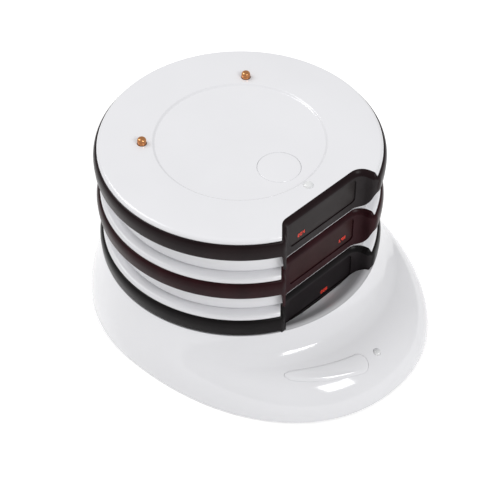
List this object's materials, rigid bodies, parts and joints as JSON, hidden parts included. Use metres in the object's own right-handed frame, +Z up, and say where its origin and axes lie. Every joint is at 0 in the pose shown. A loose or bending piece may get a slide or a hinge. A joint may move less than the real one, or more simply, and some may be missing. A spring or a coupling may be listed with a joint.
{
  "type": "guest pager system",
  "caption": "Stack of round guest pagers with sloping displays, call buttons and charging contacts, nested in the cup of an egg-shaped charging base with a leaf-shaped key.",
  "frame": {"origin": "on the table plane under the middle of the base's footprint", "axes": "+Z up; -Y towards the user, the way the displays and the base's key face; +X to the user's right"},
  "size_m": [0.1102, 0.1302, 0.0718],
  "materials": {
    "white_gloss": "glossy moulded ABS, very fine orange peel",
    "white_button": "glossy moulded ABS",
    "base_gloss": "glossy moulded ABS",
    "base_matt": "spark-eroded matt ABS",
    "ring_smoke": "polished smoked acrylic, dark red-brown, nearly opaque",
    "window_smoke": "polished smoked red acrylic window",
    "clear_lens": "polished clear acrylic light pipe",
    "contact_gold": "polished gold-plated brass",
    "nickel": "nickel plated",
    "tungsten": "sintered heavy metal",
    "screw_steel": "zinc-plated steel",
    "circuit_green": "green solder resist on glass laminate",
    "battery_foil": "aluminium laminate pouch",
    "black_plastic": "black moulded nylon",
    "foot_rubber": "matt black rubber"
  },
  "bodies": {
    "base": {"base_cover": "base_gloss", "base_status_lens": "clear_lens", "base_pin_barrels": "nickel", "base_board": "circuit_green", "dc_jack": "black_plastic", "base_plate": "base_matt", "base_feet": "foot_rubber", "base_screws": "screw_steel"},
    "base_key_body": {"base_key": "base_gloss"},
    "base_pin_left": {"base_contact_pin_left": "contact_gold"},
    "base_pin_right": {"base_contact_pin_right": "contact_gold"},
    "pager_1": {"pager_1_top_cover": "white_gloss", "pager_1_light_ring": "ring_smoke", "pager_1_display_lens": "window_smoke", "pager_1_display_module": "black_plastic", "pager_1_status_lens": "clear_lens", "pager_1_pin_barrels": "nickel", "pager_1_circuit_board": "circuit_green", "pager_1_battery": "battery_foil", "pager_1_motor": "nickel", "pager_1_charge_pads": "contact_gold", "pager_1_bottom_shell": "white_gloss", "pager_1_screws": "screw_steel"},
    "pager_1_button": {"pager_1_call_button": "white_button"},
    "pager_1_pin_left": {"pager_1_contact_pin_left": "contact_gold"},
    "pager_1_pin_right": {"pager_1_contact_pin_right": "contact_gold"},
    "pager_1_weight": {"pager_1_motor_weight": "tungsten"},
    "pager_2": {"pager_2_top_cover": "white_gloss", "pager_2_light_ring": "ring_smoke", "pager_2_display_lens": "window_smoke", "pager_2_display_module": "black_plastic", "pager_2_status_lens": "clear_lens", "pager_2_pin_barrels": "nickel", "pager_2_circuit_board": "circuit_green", "pager_2_battery": "battery_foil", "pager_2_motor": "nickel", "pager_2_charge_pads": "contact_gold", "pager_2_bottom_shell": "white_gloss", "pager_2_screws": "screw_steel"},
    "pager_2_button": {"pager_2_call_button": "white_button"},
    "pager_2_pin_left": {"pager_2_contact_pin_left": "contact_gold"},
    "pager_2_pin_right": {"pager_2_contact_pin_right": "contact_gold"},
    "pager_2_weight": {"pager_2_motor_weight": "tungsten"},
    "pager_3": {"pager_3_top_cover": "white_gloss", "pager_3_light_ring": "ring_smoke", "pager_3_display_lens": "window_smoke", "pager_3_display_module": "black_plastic", "pager_3_status_lens": "clear_lens", "pager_3_pin_barrels": "nickel", "pager_3_circuit_board": "circuit_green", "pager_3_battery": "battery_foil", "pager_3_motor": "nickel", "pager_3_charge_pads": "contact_gold", "pager_3_bottom_shell": "white_gloss", "pager_3_screws": "screw_steel"},
    "pager_3_button": {"pager_3_call_button": "white_button"},
    "pager_3_pin_left": {"pager_3_contact_pin_left": "contact_gold"},
    "pager_3_pin_right": {"pager_3_contact_pin_right": "contact_gold"},
    "pager_3_weight": {"pager_3_motor_weight": "tungsten"}
  },
  "joints": [
    {"name": "base_key_press", "type": "slide", "parent": "base", "child": "base_key_body", "axis": [0, 0, -1], "range_m": [0, 0.0006], "stiffness_N_per_m": 1500},
    {"name": "base_pin_left_press", "type": "slide", "parent": "base", "child": "base_pin_left", "axis": [0, 0, -1], "range_m": [0, 0.0012], "stiffness_N_per_m": 400},
    {"name": "base_pin_right_press", "type": "slide", "parent": "base", "child": "base_pin_right", "axis": [0, 0, -1], "range_m": [0, 0.0012], "stiffness_N_per_m": 400},
    {"name": "pager_1_lift", "type": "slide", "parent": "base", "child": "pager_1", "axis": [0, 0, 1], "range_m": [0, 0.06]},
    {"name": "pager_1_button_press", "type": "slide", "parent": "pager_1", "child": "pager_1_button", "axis": [0, 0, -1], "range_m": [0, 0.0005], "stiffness_N_per_m": 2000},
    {"name": "pager_1_pin_left_press", "type": "slide", "parent": "pager_1", "child": "pager_1_pin_left", "axis": [0, 0, -1], "range_m": [0, 0.0012], "stiffness_N_per_m": 400},
    {"name": "pager_1_pin_right_press", "type": "slide", "parent": "pager_1", "child": "pager_1_pin_right", "axis": [0, 0, -1], "range_m": [0, 0.0012], "stiffness_N_per_m": 400},
    {"name": "pager_1_motor_spin", "type": "hinge", "parent": "pager_1", "child": "pager_1_weight", "pos_m": [-0.032, -0.011, 0.02135], "axis": [1, 0, 0], "continuous": true},
    {"name": "pager_2_lift", "type": "slide", "parent": "pager_1", "child": "pager_2", "axis": [0, 0, 1], "range_m": [0, 0.06]},
    {"name": "pager_2_button_press", "type": "slide", "parent": "pager_2", "child": "pager_2_button", "axis": [0, 0, -1], "range_m": [0, 0.0005], "stiffness_N_per_m": 2000},
    {"name": "pager_2_pin_left_press", "type": "slide", "parent": "pager_2", "child": "pager_2_pin_left", "axis": [0, 0, -1], "range_m": [0, 0.0012], "stiffness_N_per_m": 400},
    {"name": "pager_2_pin_right_press", "type": "slide", "parent": "pager_2", "child": "pager_2_pin_right", "axis": [0, 0, -1], "range_m": [0, 0.0012], "stiffness_N_per_m": 400},
    {"name": "pager_2_motor_spin", "type": "hinge", "parent": "pager_2", "child": "pager_2_weight", "pos_m": [-0.032, -0.011, 0.03935], "axis": [1, 0, 0], "continuous": true},
    {"name": "pager_3_lift", "type": "slide", "parent": "pager_2", "child": "pager_3", "axis": [0, 0, 1], "range_m": [0, 0.06]},
    {"name": "pager_3_button_press", "type": "slide", "parent": "pager_3", "child": "pager_3_button", "axis": [0, 0, -1], "range_m": [0, 0.0005], "stiffness_N_per_m": 2000},
    {"name": "pager_3_pin_left_press", "type": "slide", "parent": "pager_3", "child": "pager_3_pin_left", "axis": [0, 0, -1], "range_m": [0, 0.0012], "stiffness_N_per_m": 400},
    {"name": "pager_3_pin_right_press", "type": "slide", "parent": "pager_3", "child": "pager_3_pin_right", "axis": [0, 0, -1], "range_m": [0, 0.0012], "stiffness_N_per_m": 400},
    {"name": "pager_3_motor_spin", "type": "hinge", "parent": "pager_3", "child": "pager_3_weight", "pos_m": [-0.032, -0.011, 0.05735], "axis": [1, 0, 0], "continuous": true}
  ]
}
